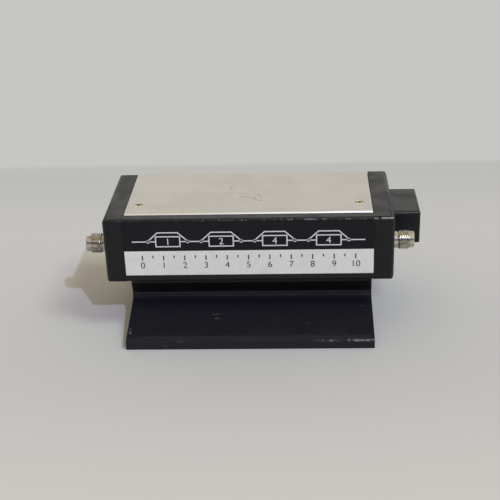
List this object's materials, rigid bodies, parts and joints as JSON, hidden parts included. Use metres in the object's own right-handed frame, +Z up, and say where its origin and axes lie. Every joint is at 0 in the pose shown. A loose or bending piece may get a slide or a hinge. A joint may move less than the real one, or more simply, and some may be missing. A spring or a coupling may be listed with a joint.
{
  "type": "rf step attenuator",
  "caption": "Coaxial step attenuator: bare metal cover between black end caps with threaded ports, a ribbon header shroud and a front label, on a flared black stand.",
  "frame": {"origin": "middle of the overall length and width, on the surface that the feet stand on", "axes": "+X along the signal line towards the header end, +Y from the label side to the back, +Z up"},
  "size_m": [0.1182, 0.0678, 0.0446],
  "materials": {
    "black_paint": "satin black paint, chipped along the front edge",
    "black_anodised": "satin black, worn along the edges",
    "black_moulding": "satin black",
    "nickel_sheet": "matte warm nickel",
    "gold_chromate": "yellow chromate",
    "gold_plate": "gold plated",
    "black_steel": "blackened",
    "zinc_steel": "zinc plated",
    "soft_iron": "plain",
    "port_steel": "turned and passivated",
    "film_black": "printed film",
    "film_white": "printed film",
    "white_dielectric": "plain",
    "bare_aluminium": "milled",
    "card_ceramic": "plain",
    "bobbin_plastic": "plain",
    "coil_wire": "enamelled copper",
    "board_green": "solder mask",
    "spacer_brass": "plain",
    "header_plastic": "plain"
  },
  "bodies": {
    "chassis": {"stand": "black_paint", "stand_screws": "zinc_steel", "rf_block": "black_anodised", "wrap_cover": "nickel_sheet", "cover_screws": "gold_chromate", "left_end_cap": "black_moulding", "right_end_cap": "black_moulding", "cap_screws": "black_steel", "name_label": "film_black", "rating_label": "film_white", "left_connector": "port_steel", "right_connector": "port_steel", "left_bead": "white_dielectric", "right_bead": "white_dielectric", "left_center_contact": "gold_plate", "right_center_contact": "gold_plate", "guide_plate": "bare_aluminium", "guide_screws": "zinc_steel", "line_posts": "white_dielectric", "link_contacts": "gold_plate", "thru_lines": "gold_plate", "latch_magnets": "soft_iron", "frame_screws": "zinc_steel", "circuit_board": "board_green", "board_spacers": "spacer_brass", "header_board": "board_green", "header_housing": "header_plastic", "header_pins": "gold_plate", "attenuator_card_1": "card_ceramic", "attenuator_card_2": "card_ceramic", "attenuator_card_3": "card_ceramic", "attenuator_card_4": "card_ceramic", "solenoid_frame_1": "soft_iron", "solenoid_frame_2": "soft_iron", "solenoid_frame_3": "soft_iron", "solenoid_frame_4": "soft_iron", "bobbin_1": "bobbin_plastic", "bobbin_2": "bobbin_plastic", "bobbin_3": "bobbin_plastic", "bobbin_4": "bobbin_plastic", "winding_1": "coil_wire", "winding_2": "coil_wire", "winding_3": "coil_wire", "winding_4": "coil_wire"},
    "switch_1": {"plunger_1": "soft_iron", "push_pins_1": "white_dielectric", "reeds_1": "gold_plate"},
    "switch_2": {"plunger_2": "soft_iron", "push_pins_2": "white_dielectric", "reeds_2": "gold_plate"},
    "switch_3": {"plunger_3": "soft_iron", "push_pins_3": "white_dielectric", "reeds_3": "gold_plate"},
    "switch_4": {"plunger_4": "soft_iron", "push_pins_4": "white_dielectric", "reeds_4": "gold_plate"}
  },
  "joints": [
    {"name": "switch_1_slide", "type": "slide", "parent": "chassis", "child": "switch_1", "axis": [0, -1, 0], "range_m": [0, 0.0008]},
    {"name": "switch_2_slide", "type": "slide", "parent": "chassis", "child": "switch_2", "axis": [0, -1, 0], "range_m": [0, 0.0008]},
    {"name": "switch_3_slide", "type": "slide", "parent": "chassis", "child": "switch_3", "axis": [0, -1, 0], "range_m": [0, 0.0008]},
    {"name": "switch_4_slide", "type": "slide", "parent": "chassis", "child": "switch_4", "axis": [0, -1, 0], "range_m": [0, 0.0008]}
  ]
}
